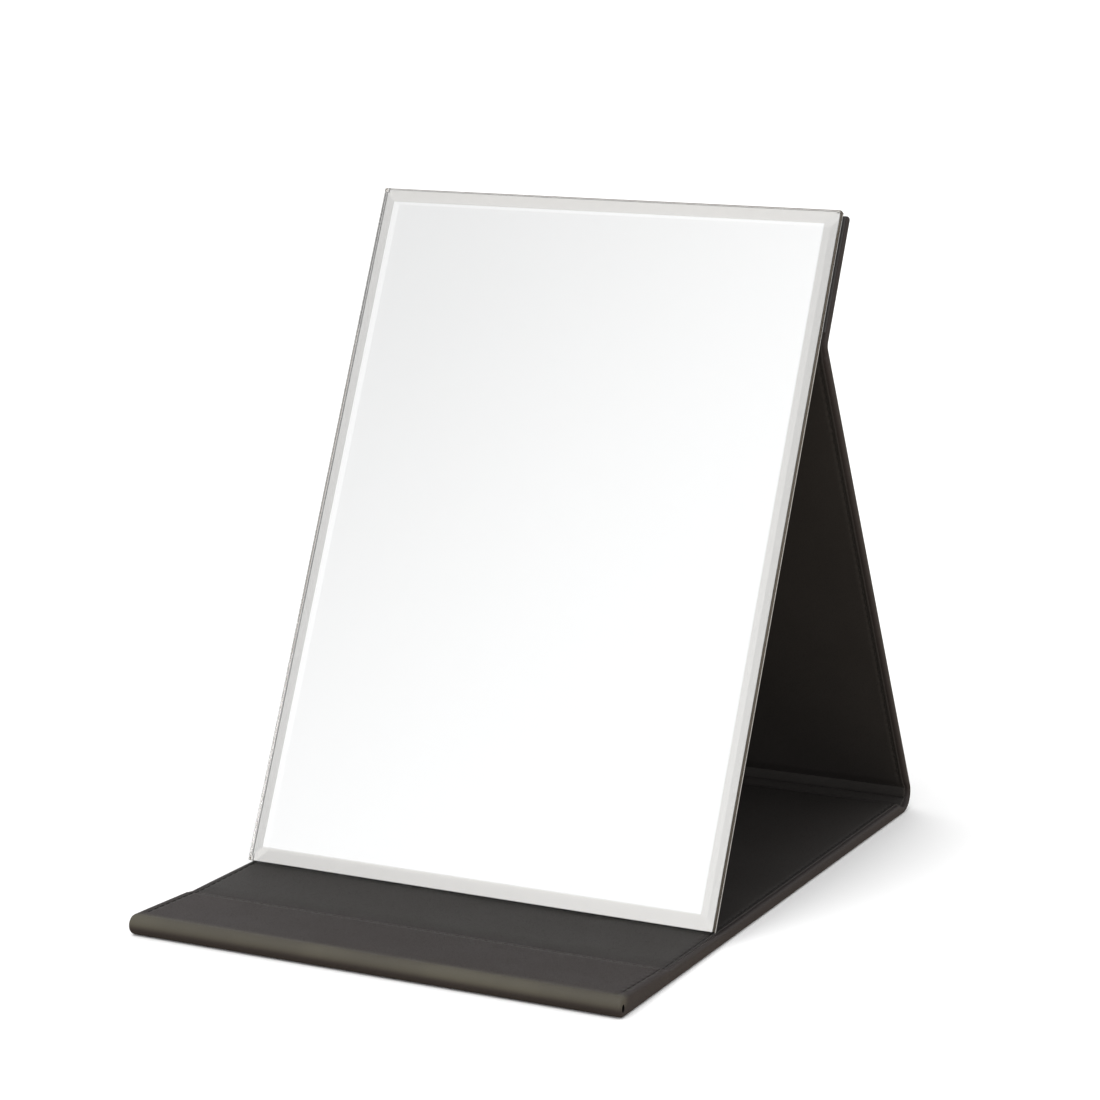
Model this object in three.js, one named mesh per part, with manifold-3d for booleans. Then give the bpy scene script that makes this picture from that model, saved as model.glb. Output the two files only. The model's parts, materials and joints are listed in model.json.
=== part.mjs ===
// Folding countertop mirror: a bevelled mirror in a leather-covered folio that
// folds into a triangular stand. Millimetres, +Z up, +X to the right as the
// mirror is looked into, -Y towards the person. The origin is on the table,
// under the middle of the stand.
import * as THREE from 'three';
import { mergeVertices } from 'three/addons/utils/BufferGeometryUtils.js';
import Module from 'manifold-3d';

const wasm = await Module();
wasm.setup();

// ---- driving dimensions -------------------------------------------------
const GLASS = { width: 200, height: 280, thickness: 4, bevelWidth: 5.6, bevelDepth: 1 };
const MIRROR_LEAN = THREE.MathUtils.degToRad(24.42); // back from upright
const LEG_ANGLE = THREE.MathUtils.degToRad(62.6); // leg above the table
const COVER_WIDTH = 203;
const UPPER_PANEL = 52; // length of the cover that is glued to the glass
const APRON = 82.4; // base in front of the mirror's foot
const SPINE_LENGTH = 16; // soft leather between the base and the leg
const GAP = 0.3; // between layers that lie on each other

// Layers of the three stiff panels, as [from, to] measured inwards from the
// outer skin's outside.
const BASE = { skin: [0, 0.8], board: [1.1, 2.9], foam: [3.2, 4.2], lining: [4.5, 5.3] };
const LEG = { skin: [0, 0.7], board: [1.0, 3.1], lining: [3.4, 4.1] };
const UPPER = { skin: [0, 0.7], board: [1.0, 2.5], lining: [2.8, 3.4], tape: [3.7, 4.1] };
const COATING = [4.4, 4.7]; // silver and its protective paint
const GLASS_BACK = 5.0;

// Front lip: the base's leather is rolled over a cord, and runs back over a
// wedge-shaped pad to the seam across the base.
const LIP = { height: 7.6, wallRear: 7.4, tunnelSetback: 1.8, tunnelWide: 0.9, tunnelHigh: 1.6 };
const SEAM = { fromLip: 42.6, width: 1.2, padStart: 3.4 }; // seam across the base
const STITCH = { inset: 3.2, thread: 0.5, groove: 1.2, depth: 0.5, proud: 0.15 };
const CREASE = { half: 3.3, liningTail: 3.6, panelStart: 4.2 };
const MAGNET = { length: 40, width: 12, thickness: 1.2, fromLip: 24, offset: 60 };
const FOOT_LIFT = 6.9; // height of the glass's lower front edge

// ---- sizes worked out from them -----------------------------------------
const coverHalf = COVER_WIDTH / 2;
const glassHalf = GLASS.width / 2;
const glassFoot = UPPER_PANEL - GLASS.height; // along the mirror, from the crease
const baseTop = BASE.lining[1];
const lipFront = -APRON;
const seamY = lipFront + SEAM.fromLip;
const edgeDepth = GLASS_BACK + GLASS.thickness - GLASS.bevelDepth; // edge to the back skin

// The crease between the leg and the upper panel, found by going up the glass
// from its foot and then through the panel to its outside.
const creaseY = -glassFoot * Math.sin(MIRROR_LEAN) + edgeDepth * Math.cos(MIRROR_LEAN);
const creaseZ = FOOT_LIFT - glassFoot * Math.cos(MIRROR_LEAN) - edgeDepth * Math.sin(MIRROR_LEAN);

// The spine is an arc that leaves the base level and meets the leg's outside.
const spineTurn = Math.PI - LEG_ANGLE;
const spineRadius = SPINE_LENGTH / spineTurn;
const spineRise = spineRadius * (1 - Math.cos(spineTurn));
const legLength = (creaseZ - spineRise) / Math.sin(LEG_ANGLE);
const baseBack = creaseY + legLength * Math.cos(LEG_ANGLE) - spineRadius * Math.sin(spineTurn);
const middleY = (lipFront + baseBack + spineRadius) / 2;

// ---- materials ----------------------------------------------------------
const material = (name, color, roughness, metalness = 0) =>
  new THREE.MeshStandardMaterial({ name, color, roughness, metalness });
const materials = {
  outerLeather: material('outer_leather', 0x4a4746, 0.55),
  liningLeather: material('lining_leather', 0x464344, 0.6),
  board: material('greyboard', 0x8c857a, 0.95),
  foam: material('foam', 0x3a3a3c, 0.98),
  cord: material('lip_cord', 0x232221, 0.9),
  thread: material('thread', 0x2e2c2c, 0.8),
  glass: material('clear_glass', 0xdfeeea, 0.03),
  silver: material('silver_coat', 0xf2f4f4, 0.04, 1),
  tape: material('mounting_tape', 0x1c1c1c, 0.9),
  magnet: material('magnet_nickel', 0xb4b6b8, 0.3, 1),
  steel: material('plated_steel', 0x9fa2a5, 0.4, 1),
};

// ---- shape helpers ------------------------------------------------------
const alongX = new THREE.Matrix4().makeBasis(
  new THREE.Vector3(0, 1, 0), new THREE.Vector3(0, 0, 1), new THREE.Vector3(1, 0, 0));
const alongY = new THREE.Matrix4().makeBasis(
  new THREE.Vector3(1, 0, 0), new THREE.Vector3(0, 0, 1), new THREE.Vector3(0, -1, 0));

/** Outline of [y, z] points, carried along X from x0 to x1. */
function prismX(points, x0, x1) {
  const shape = new THREE.Shape(points.map(([y, z]) => new THREE.Vector2(y, z)));
  const geometry = new THREE.ExtrudeGeometry(shape, { depth: x1 - x0, bevelEnabled: false });
  return geometry.applyMatrix4(alongX).translate(x0, 0, 0);
}

/** Outline of [x, z] points, carried along Y from y0 to y1. */
function prismY(points, y0, y1) {
  const shape = new THREE.Shape(points.map(([x, z]) => new THREE.Vector2(x, z)));
  const geometry = new THREE.ExtrudeGeometry(shape, { depth: y1 - y0, bevelEnabled: false });
  return geometry.applyMatrix4(alongY).translate(0, y1, 0);
}

/** Block between two opposite corners. */
function block([x0, x1], [y0, y1], [z0, z1]) {
  return new THREE.BoxGeometry(x1 - x0, y1 - y0, z1 - z0)
    .translate((x0 + x1) / 2, (y0 + y1) / 2, (z0 + z1) / 2);
}

/** Points of an arc in the YZ plane, angles from +Y towards +Z. */
function arc(y, z, radius, from, to, steps) {
  return Array.from({ length: steps + 1 }, (_, i) => {
    const a = from + (to - from) * i / steps;
    return [y + radius * Math.cos(a), z + radius * Math.sin(a)];
  });
}

/** A path moved sideways to its left by a distance, with mitred corners. */
function offsetPath(path, distance) {
  return path.map((point, i) => {
    const before = path[Math.max(i - 1, 0)];
    const after = path[Math.min(i + 1, path.length - 1)];
    const normal = (a, b) => new THREE.Vector2(a[1] - b[1], b[0] - a[0]).normalize();
    const first = i > 0 ? normal(before, point) : normal(point, after);
    const second = i < path.length - 1 ? normal(point, after) : first;
    const mitre = first.clone().add(second).normalize();
    const reach = distance / mitre.dot(first);
    return [point[0] + mitre.x * reach, point[1] + mitre.y * reach];
  });
}

/** Strip of sheet between two offsets of one path, carried along X. */
function sheetX(path, near, far, x0, x1) {
  return prismX([...offsetPath(path, near), ...offsetPath(path, far).reverse()], x0, x1);
}

function toSolid(geometry) {
  const bare = geometry.clone();
  bare.deleteAttribute('normal');
  bare.deleteAttribute('uv');
  const merged = mergeVertices(bare, 1e-5);
  return new wasm.Manifold(new wasm.Mesh({
    numProp: 3,
    vertProperties: new Float32Array(merged.attributes.position.array),
    triVerts: new Uint32Array(merged.index.array),
  }));
}

function toGeometry(solid) {
  const mesh = solid.getMesh();
  const geometry = new THREE.BufferGeometry();
  geometry.setAttribute('position', new THREE.BufferAttribute(mesh.vertProperties, 3));
  geometry.setIndex(new THREE.BufferAttribute(mesh.triVerts, 1));
  return geometry;
}

/** The first geometry with others joined to it and others cut from it. */
function shaped(first, { join = [], cut = [] }) {
  let solid = toSolid(first);
  for (const other of join) solid = solid.add(toSolid(other));
  for (const other of cut) solid = solid.subtract(toSolid(other));
  return toGeometry(solid);
}

function node(name, geometry, finish) {
  const mesh = new THREE.Mesh(geometry, finish);
  mesh.name = name;
  return mesh;
}

// ---- base ---------------------------------------------------------------
/** Height of the base's upper surface: level, then up the pad to the lip. */
function baseSurface(y) {
  const padStart = seamY - SEAM.padStart;
  const crown = lipFront + LIP.height / 2;
  if (y >= seamY) return baseTop;
  if (y >= padStart) return baseTop + 0.6 * (seamY - y) / SEAM.padStart;
  return baseTop + 0.6 + (LIP.height - baseTop - 0.6) * (padStart - y) / (padStart - crown);
}

/** The upper surface's path from back to front, at a depth below it. */
function surfacePath(back, front, depth) {
  const corners = [seamY, seamY - SEAM.padStart].filter((y) => y < back && y > front);
  return [back, ...corners, front].map((y) => [y, baseSurface(y) - depth]);
}

function baseBand(back, front, low, high, x0, x1) {
  const outline = [...surfacePath(back, front, -high), ...surfacePath(back, front, -low).reverse()];
  return prismX(outline, x0, x1);
}

function makeBase() {
  const base = new THREE.Group();
  const [, skin] = BASE.skin;
  const inner = coverHalf - skin;
  const lipRadius = LIP.height / 2;
  const crown = lipFront + lipRadius;
  const wrapEnd = seamY - SEAM.width / 2;
  const liningStart = seamY + SEAM.width / 2;
  const pocketFront = lipFront + LIP.wallRear;
  const rowX = coverHalf - STITCH.inset;

  // outer skin: a tray whose front is rolled over and back to the seam
  const tray = prismY([
    [-coverHalf, baseTop], [-coverHalf, 1], [-coverHalf + 0.3, 0.3], [-coverHalf + 1, 0],
    [coverHalf - 1, 0], [coverHalf - 0.3, 0.3], [coverHalf, 1], [coverHalf, baseTop],
    [inner, baseTop], [inner, skin], [-inner, skin], [-inner, baseTop],
  ], seamY - 5, baseBack - GAP / 2);
  const roll = prismX([
    [wrapEnd, 0],
    [wrapEnd, baseSurface(wrapEnd)],
    ...surfacePath(wrapEnd, crown, 0).slice(1, -1),
    ...arc(crown, lipRadius, lipRadius, Math.PI / 2, 1.5 * Math.PI, 14),
  ], -coverHalf, coverHalf);
  const pocket = prismX([
    [pocketFront, skin],
    [wrapEnd + 1, skin],
    [wrapEnd + 1, baseSurface(wrapEnd) - skin],
    ...surfacePath(wrapEnd, pocketFront, skin),
  ], -inner, inner);
  const tunnelY = lipFront + LIP.tunnelSetback;
  const oval = (wide, high) => Array.from({ length: 16 }, (_, i) => {
    const a = i * Math.PI / 8;
    return [tunnelY + wide * Math.cos(a), lipRadius + high * Math.sin(a)];
  });
  const tunnel = prismX(oval(LIP.tunnelWide, LIP.tunnelHigh), -coverHalf - 1, coverHalf + 1);
  const rowGrooves = [-rowX, rowX].map((x) => baseBand(
    wrapEnd + 1, pocketFront, -STITCH.depth, 1, x - STITCH.groove / 2, x + STITCH.groove / 2));
  base.add(node('base_outer_skin',
    shaped(roll, { cut: [pocket, tunnel, ...rowGrooves], join: [tray] }), materials.outerLeather));
  base.add(node('lip_cord', prismX(oval(LIP.tunnelWide - GAP, LIP.tunnelHigh - GAP),
    -coverHalf + 5.5, coverHalf - 5.5), materials.cord));

  // lining, with a groove for the row of stitches along each side
  const liningHalf = inner - GAP;
  const [liningLow, liningHigh] = BASE.lining;
  const grooveFloor = liningHigh - STITCH.depth;
  const liningOutline = [[-liningHalf, liningLow], [liningHalf, liningLow], [liningHalf, liningHigh],
    ...[rowX, -rowX].flatMap((x) => [
      [x + STITCH.groove / 2, liningHigh], [x + STITCH.groove / 2, grooveFloor],
      [x - STITCH.groove / 2, grooveFloor], [x - STITCH.groove / 2, liningHigh],
    ]), [-liningHalf, liningHigh]];
  base.add(node('base_lining', prismY(liningOutline, liningStart, baseBack - 1.8),
    materials.liningLeather));

  // stiffening boards and padding
  const packed = inner - 1.5;
  base.add(node('base_board', block([-packed, packed], [liningStart, baseBack - 3.5], BASE.board),
    materials.board));
  base.add(node('base_foam', block([-packed, packed], [liningStart, baseBack - 8], BASE.foam),
    materials.foam));
  const boardFront = pocketFront + GAP;
  const boardBack = wrapEnd - 1.5;
  base.add(node('front_board', block([-packed, packed], [boardFront, boardBack], BASE.board),
    materials.board));

  // two closure magnets, sunk in the pad under the rolled leather
  const magnetY = lipFront + MAGNET.fromLip;
  const magnetLow = BASE.foam[0];
  const magnetAt = (side, room) => block(
    [side * MAGNET.offset - MAGNET.length / 2 - room, side * MAGNET.offset + MAGNET.length / 2 + room],
    [magnetY - MAGNET.width / 2 - room, magnetY + MAGNET.width / 2 + room],
    [magnetLow - (room ? 1 : 0), magnetLow + MAGNET.thickness + room]);
  const padTop = surfacePath(boardBack, boardFront, skin + GAP + 0.1);
  const pad = prismX([[boardFront, magnetLow], [boardBack, magnetLow], ...padTop], -packed, packed);
  base.add(node('front_pad', shaped(pad, { cut: [magnetAt(-1, GAP), magnetAt(1, GAP)] }),
    materials.foam));
  base.add(node('closure_magnet_left', magnetAt(-1, 0), materials.magnet));
  base.add(node('closure_magnet_right', magnetAt(1, 0), materials.magnet));

  // seams: one row along each side and one across
  const half = STITCH.thread / 2;
  for (const [name, x] of [['base_stitch_left', -rowX], ['base_stitch_right', rowX]]) {
    const row = baseBand(baseBack - 4, pocketFront + 1, GAP - STITCH.depth, STITCH.proud,
      x - half, x + half);
    base.add(node(name, row, materials.thread));
  }
  base.add(node('cross_stitch', block([-rowX + 1, rowX - 1], [seamY - half, seamY + half],
    [liningLow, liningHigh + STITCH.proud]), materials.thread));
  return base;
}

// ---- spine --------------------------------------------------------------
/** A point on the leg in profile: distance down from the crease, and depth. */
function onLeg(down, depth) {
  return [
    creaseY + down * Math.cos(LEG_ANGLE) - depth * Math.sin(LEG_ANGLE),
    creaseZ - down * Math.sin(LEG_ANGLE) - depth * Math.cos(LEG_ANGLE),
  ];
}

function makeSpine() {
  const spine = new THREE.Group();
  const start = -Math.PI / 2;
  const trim = GAP / 2 / spineRadius;
  const outside = arc(baseBack, spineRadius, spineRadius, start + trim,
    start + spineTurn - trim, 14);
  spine.add(node('spine_outer_skin', sheetX(outside, 0, BASE.skin[1], -coverHalf, coverHalf),
    materials.outerLeather));

  // the lining turns down over the base's end, follows the arc and turns up
  const depth = BASE.skin[1] + 0.65;
  const lining = [
    [baseBack - 1.1, BASE.lining[1] - 0.3], [baseBack - 1.0, 2.3],
    ...arc(baseBack, spineRadius, spineRadius - depth, start, start + spineTurn, 12),
    onLeg(legLength - 1.0, 2.1), onLeg(legLength - 1.1, LEG.lining[1] - 0.3),
  ];
  const linerHalf = coverHalf - BASE.skin[1];
  spine.add(node('spine_lining', sheetX(lining, -0.3, 0.3, -linerHalf, linerHalf),
    materials.liningLeather));
  return spine;
}

// ---- panels that stand on the crease ------------------------------------
/** Depth range measured inwards from the outer skin, as a local Y range. */
const inwards = ([from, to]) => [-to, -from];

/** Outline across a panel's skin: a sheet with a wall along each side. */
function channel(half, layers) {
  const [, skin] = layers.skin;
  const wall = layers.lining[1];
  return [
    [-half, -wall], [-half, -1], [-half + 0.3, -0.3], [-half + 1, 0],
    [half - 1, 0], [half - 0.3, -0.3], [half, -1], [half, -wall],
    [half - skin, -wall], [half - skin, -skin], [-half + skin, -skin], [-half + skin, -wall],
  ];
}

/** A channel's outline of [x, y] points carried up the panel from z0 to z1. */
function prismZ(points, z0, z1) {
  const shape = new THREE.Shape(points.map(([x, y]) => new THREE.Vector2(x, y)));
  return new THREE.ExtrudeGeometry(shape, { depth: z1 - z0, bevelEnabled: false })
    .translate(0, 0, z0);
}

function makeLeg() {
  const leg = new THREE.Group();
  const foot = -legLength;
  const inner = coverHalf - LEG.skin[1];
  const liningHalf = inner - GAP;
  const rowX = coverHalf - STITCH.inset;
  leg.add(node('leg_outer_skin',
    prismZ(channel(coverHalf, LEG), foot + GAP / 2, -CREASE.half), materials.outerLeather));
  leg.add(node('leg_board', block([-inner + 1.5, inner - 1.5], inwards(LEG.board),
    [foot + 5, -CREASE.panelStart]), materials.board));
  const face = -LEG.lining[1];
  const floor = face + STITCH.depth;
  const back = -LEG.lining[0];
  const outline = [[liningHalf, back], [-liningHalf, back], [-liningHalf, face],
    ...[-rowX, rowX].flatMap((x) => [
      [x - STITCH.groove / 2, face], [x - STITCH.groove / 2, floor],
      [x + STITCH.groove / 2, floor], [x + STITCH.groove / 2, face],
    ]), [liningHalf, face]];
  leg.add(node('leg_lining', prismZ(outline, foot + 1.8, -CREASE.liningTail - 0.7),
    materials.liningLeather));
  const half = STITCH.thread / 2;
  for (const [name, x] of [['leg_stitch_left', -rowX], ['leg_stitch_right', rowX]]) {
    leg.add(node(name, block([x - half, x + half], [face, floor - GAP],
      [foot + 4, -CREASE.liningTail - 3]), materials.thread));
  }
  return leg;
}

function makeMirror() {
  const mirror = new THREE.Group();
  const top = UPPER_PANEL - 0.4;
  const inner = coverHalf - UPPER.skin[1];
  const packed = inner - 1.5;

  // upper panel of the cover, behind the top of the glass
  const capWall = block([-coverHalf, coverHalf], inwards([0, UPPER.lining[1]]), [top - 0.7, top]);
  const rowX = coverHalf - STITCH.inset;
  const rowZ = top - STITCH.inset;
  const rowLow = CREASE.half + 3;
  const outline = (grow) => {
    const w = (STITCH.thread + grow) / 2;
    const upright = (x) => [[x - w, x + w], [rowLow - grow, rowZ + w]];
    return [upright(-rowX), upright(rowX), [[-rowX - w, rowX + w], [rowZ - w, rowZ + w]]];
  };
  const rows = (grow, depths) => outline(grow).map(([x, z]) => block(x, inwards(depths), z));
  const [left, right, across] = rows(STITCH.groove - STITCH.thread, [-1, STITCH.depth]);
  const sheet = prismZ(channel(coverHalf, UPPER), CREASE.half, top);
  mirror.add(node('upper_panel_skin',
    shaped(sheet, { join: [capWall], cut: [left, right, across] }), materials.outerLeather));
  const [threadLeft, threadRight, threadAcross] = rows(0, [-STITCH.proud, STITCH.depth - GAP]);
  mirror.add(node('upper_panel_stitch',
    shaped(threadLeft, { join: [threadRight, threadAcross] }), materials.thread));

  // board with a window for each steel closure plate
  const plateZ = UPPER_PANEL - MAGNET.fromLip;
  const plate = (side, room, depths) => block(
    [side * MAGNET.offset - MAGNET.length / 2 - room, side * MAGNET.offset + MAGNET.length / 2 + room],
    inwards(depths),
    [plateZ - MAGNET.width / 2 - room, plateZ + MAGNET.width / 2 + room]);
  const board = block([-packed, packed], inwards(UPPER.board), [CREASE.panelStart, top - 1.5]);
  const windows = [-1, 1].map((side) => plate(side, GAP, [0, UPPER.lining[0]]));
  mirror.add(node('upper_panel_board', shaped(board, { cut: windows }), materials.board));
  const plateDepth = [UPPER.board[0] + 0.3, UPPER.board[1] - 0.3];
  mirror.add(node('closure_plate_left', plate(-1, 0, plateDepth), materials.steel));
  mirror.add(node('closure_plate_right', plate(1, 0, plateDepth), materials.steel));
  mirror.add(node('upper_panel_lining', block([-inner + GAP, inner - GAP], inwards(UPPER.lining),
    [CREASE.liningTail + 0.7, top - 1]), materials.liningLeather));

  // two strips of tape hold the glass to the panel
  for (const [name, low, high] of [['mounting_tape_upper', 30, 46], ['mounting_tape_lower', 8, 24]]) {
    mirror.add(node(name, block([-92, 92], inwards(UPPER.tape), [low, high]), materials.tape));
  }

  // silver and paint on the back of the glass, and the bevelled glass
  mirror.add(node('mirror_coating', block([-glassHalf + 0.1, glassHalf - 0.1], inwards(COATING),
    [glassFoot + 0.1, UPPER_PANEL - 0.1]), materials.silver));
  mirror.add(node('mirror_glass', bevelledPane(), materials.glass));
  return mirror;
}

/** Flat pane with a bevel all round its face, from its back forwards. */
function bevelledPane() {
  const ring = (inset, y) => [
    [-glassHalf + inset, y, glassFoot + inset], [glassHalf - inset, y, glassFoot + inset],
    [glassHalf - inset, y, UPPER_PANEL - inset], [-glassHalf + inset, y, UPPER_PANEL - inset],
  ];
  const face = -GLASS_BACK - GLASS.thickness;
  const rings = [ring(0, -GLASS_BACK), ring(0, face + GLASS.bevelDepth), ring(GLASS.bevelWidth, face)];
  const faces = [0, 2, 1, 0, 3, 2].concat([8, 9, 10, 8, 10, 11]);
  for (let level = 0; level < 2; level += 1) {
    for (let i = 0; i < 4; i += 1) {
      const a = level * 4 + i;
      const b = level * 4 + (i + 1) % 4;
      faces.push(a, b, b + 4, a, b + 4, a + 4);
    }
  }
  const geometry = new THREE.BufferGeometry();
  geometry.setAttribute('position', new THREE.Float32BufferAttribute(rings.flat(2), 3));
  geometry.setIndex(faces);
  return geometry;
}

// ---- crease between the leg and the upper panel --------------------------
/** A point on the upper panel in profile: distance up, and depth. */
function onPanel(up, depth) {
  return [
    creaseY + up * Math.sin(MIRROR_LEAN) - depth * Math.cos(MIRROR_LEAN),
    creaseZ + up * Math.cos(MIRROR_LEAN) + depth * Math.sin(MIRROR_LEAN),
  ];
}

function makeCrease() {
  const crease = new THREE.Group();
  const reach = CREASE.half - GAP;
  const outside = [onLeg(reach, 0), [creaseY, creaseZ], onPanel(reach, 0)];
  crease.add(node('crease_outer_skin', sheetX(outside, 0, LEG.skin[1], -coverHalf, coverHalf),
    materials.outerLeather));
  const bottom = 1.3;
  const tail = CREASE.liningTail;
  const lining = [
    onLeg(tail, LEG.lining[1] - 0.3), onLeg(tail - 0.1, 1.9), onLeg(tail - 0.8, bottom),
    ...offsetPath(outside, bottom).slice(1, 2),
    onPanel(tail - 0.8, bottom), onPanel(tail - 0.1, 1.9), onPanel(tail, UPPER.lining[1] - 0.3),
  ];
  const linerHalf = coverHalf - LEG.skin[1];
  crease.add(node('crease_lining', sheetX(lining, -0.25, 0.25, -linerHalf, linerHalf),
    materials.liningLeather));
  return crease;
}

// ---- the whole mirror ---------------------------------------------------
const leg = makeLeg();
leg.position.set(0, creaseY, creaseZ);
leg.rotation.x = Math.PI / 2 - LEG_ANGLE;

const mirror = makeMirror();
mirror.position.set(0, creaseY, creaseZ);
mirror.rotation.x = -MIRROR_LEAN;

const standing = new THREE.Group();
standing.add(makeBase(), makeSpine(), leg, mirror, makeCrease());
standing.position.y = -middleY;

const countertopMirror = new THREE.Group();
countertopMirror.add(standing);
export default countertopMirror;
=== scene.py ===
"""Looks of a folding countertop mirror, built round its fixed frame.

The leather cover is modelled flat, as it is sewn, and then folded up into the stand.
In the flat pattern X runs across the cover, Y runs along it from the back edge of the
base (0) to the leg and the upper panel, and Z is the depth inwards from the outer skin.
"""
import json
import math

import bmesh
import bpy
from mathutils import Matrix, Vector


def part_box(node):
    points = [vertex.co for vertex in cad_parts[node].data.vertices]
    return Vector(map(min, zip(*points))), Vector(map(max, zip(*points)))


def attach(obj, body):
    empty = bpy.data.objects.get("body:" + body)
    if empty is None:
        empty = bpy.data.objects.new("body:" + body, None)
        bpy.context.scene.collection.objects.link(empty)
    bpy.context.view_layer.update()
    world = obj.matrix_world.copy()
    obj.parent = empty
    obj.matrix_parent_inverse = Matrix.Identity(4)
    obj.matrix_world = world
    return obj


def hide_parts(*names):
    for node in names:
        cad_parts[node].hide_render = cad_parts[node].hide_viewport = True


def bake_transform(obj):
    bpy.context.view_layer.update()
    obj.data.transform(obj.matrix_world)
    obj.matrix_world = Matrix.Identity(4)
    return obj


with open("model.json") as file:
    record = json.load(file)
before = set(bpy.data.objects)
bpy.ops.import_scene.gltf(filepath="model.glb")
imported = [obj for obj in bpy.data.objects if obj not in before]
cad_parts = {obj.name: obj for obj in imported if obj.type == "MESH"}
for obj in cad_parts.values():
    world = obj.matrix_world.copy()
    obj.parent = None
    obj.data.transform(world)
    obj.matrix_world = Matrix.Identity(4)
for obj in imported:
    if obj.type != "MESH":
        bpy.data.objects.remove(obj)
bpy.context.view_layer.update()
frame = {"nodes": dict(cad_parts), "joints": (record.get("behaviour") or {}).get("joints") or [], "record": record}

bl_info = {
    "name": "Folding Countertop Mirror",
    "version": (1, 0, 0),
    "blender": (4, 5, 0),
    "location": "3D View > Sidebar > Mirror",
    "description": "Bevelled mirror in a leather folio that folds into a stand",
    "category": "Add Mesh",
}

MM = 0.001

# ---- the standing shape, from the frame -----------------------------------
JOINTS = {joint["name"]: joint for joint in frame["joints"]}
COUPLING = frame["record"]["behaviour"]["couplings"][0]["ratio"]
STAND_TRAVEL = JOINTS["stand_fold"]["range_deg"][1]
SPINE_TURN = math.radians(JOINTS["cover_fold"]["range_deg"][1] + STAND_TRAVEL)
CREASE_TURN = math.radians(STAND_TRAVEL * COUPLING)
LEG_ANGLE = math.pi - SPINE_TURN
MIRROR_LEAN = CREASE_TURN + LEG_ANGLE - math.pi / 2
CREASE = Vector(JOINTS["mirror_fold"]["pos_m"])

BASE_LOW, BASE_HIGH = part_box("base_outer_skin")
HALF_WIDTH = BASE_HIGH.x
LIP_HEIGHT = BASE_HIGH.z
BASE_BACK = BASE_HIGH.y + 0.15 * MM
BASE_LENGTH = BASE_BACK - BASE_LOW.y
SPINE_LENGTH = 16 * MM
SPINE_RADIUS = SPINE_LENGTH / SPINE_TURN
SPINE_RISE = SPINE_RADIUS * (1 - math.cos(SPINE_TURN))
LEG_LENGTH = (CREASE.z - SPINE_RISE) / math.sin(LEG_ANGLE)
PANEL_LENGTH = 51.6 * MM

# ---- the flat pattern ------------------------------------------------------
CREASE_LENGTH = 3 * MM  # how much of the cover takes part in the sharp crease
CREASE_RADIUS = CREASE_LENGTH / CREASE_TURN
CREASE_TANGENT = CREASE_RADIUS * math.tan(CREASE_TURN / 2)
LEG_END = SPINE_LENGTH + LEG_LENGTH - CREASE_TANGENT
PANEL_START = LEG_END + CREASE_LENGTH
PATTERN_END = PANEL_START + PANEL_LENGTH - CREASE_TANGENT
LIP = -BASE_LENGTH
CROWN = LIP + LIP_HEIGHT / 2
SEAM = LIP + 42.6 * MM
# the spine's arc is split where the turn left to it equals the stand fold's travel
SPINE_SPLIT = SPINE_LENGTH * (1 - math.radians(STAND_TRAVEL) / SPINE_TURN)
LEG_CUT = LEG_END - 2 * MM  # where the leg's leather hands over to the crease's

BASE_WALL = 4.7 * MM
LEG_WALL = 3.5 * MM
PANEL_WALL = 2.8 * MM
SPINE_WALL = 2.6 * MM
LINING = 0.6 * MM
SKIN = 0.5 * MM
EDGE_RADIUS = 1.2 * MM
TURNED_EDGE = 5.5 * MM  # leather folded over the sides of each board
LINING_INSET = 1.8 * MM
ROW_INSET = 3.2 * MM
ROW = HALF_WIDTH - ROW_INSET
CROSS_ROW = SEAM - 2.2 * MM
GROOVE_HALF, GROOVE_DEPTH = 0.9 * MM, 0.28 * MM
RIDGE_HEIGHT = 1.0 * MM
LINING_FULLNESS = 0.12 * MM
RIM_WIDTH, RIM_RISE = 1.8 * MM, 0.55 * MM
# height of the pad where the seam holds it down, and where its slope to the lip starts
PAD_AT_SEAM, PAD_SHOULDER = 5.36 * MM, 5.9 * MM
SHOULDER_LENGTH = 3.4 * MM
BLANK = 10 * MM  # height of each blank, before its top is shaped
CLOSE = 0.01 * MM  # places nearer to each other than this are the same
# the oval mouth at each end of the lip's roll: its middle and half sizes along and up
MOUTH_ALONG, MOUTH_UP = LIP + 2.6 * MM, LIP_HEIGHT / 2 - 0.2 * MM
MOUTH_HALF_ALONG, MOUTH_HALF_UP = 0.95 * MM, 1.45 * MM
MOUTH_DEPTH = 4 * MM
# stretches of the pattern whose sides are sewn
SEWN = ((LIP + 7 * MM, -8 * MM), (SPINE_LENGTH + 7 * MM, LEG_CUT - 2 * MM),
        (PANEL_START + 4 * MM, PATTERN_END))

# ---- the pane, along its face from the crease and square to it ---------------
PANE_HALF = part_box("mirror_glass")[1].x
PANE_FOOT, PANE_TOP = -228 * MM, 52 * MM
PANE_BACK, PANE_FRONT = -5 * MM, -9 * MM
PANE_MIDDLE = (PANE_FOOT + PANE_TOP) / 2
SILVER_BACK = 4.5 * MM  # where the silver's protective paint starts
BORDER_SHIFT = (1.2 * MM, 0.45 * MM)  # lines the silver's border up with the bevel above it

# ---- lamps and the panel that the mirror shows -------------------------------
OVERHEAD_FROM, OVERHEAD_WIDTH = Vector((-0.12, -0.5, 0.9)), math.radians(34)
SOFTBOX_PLACE, SOFTBOX_AIM, SOFTBOX_SIZE = Vector((2.1, -1.3, 0.32)), Vector((0, 0, 0.05)), 1.2
CARD_SIZE, CARD_DISTANCE = 4.4, 3.0
CARD_FADE = (-0.85, 0.3)  # across the card, where its glow grows from dim to bright
SENSOR_WIDTH = 36  # mm


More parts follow.
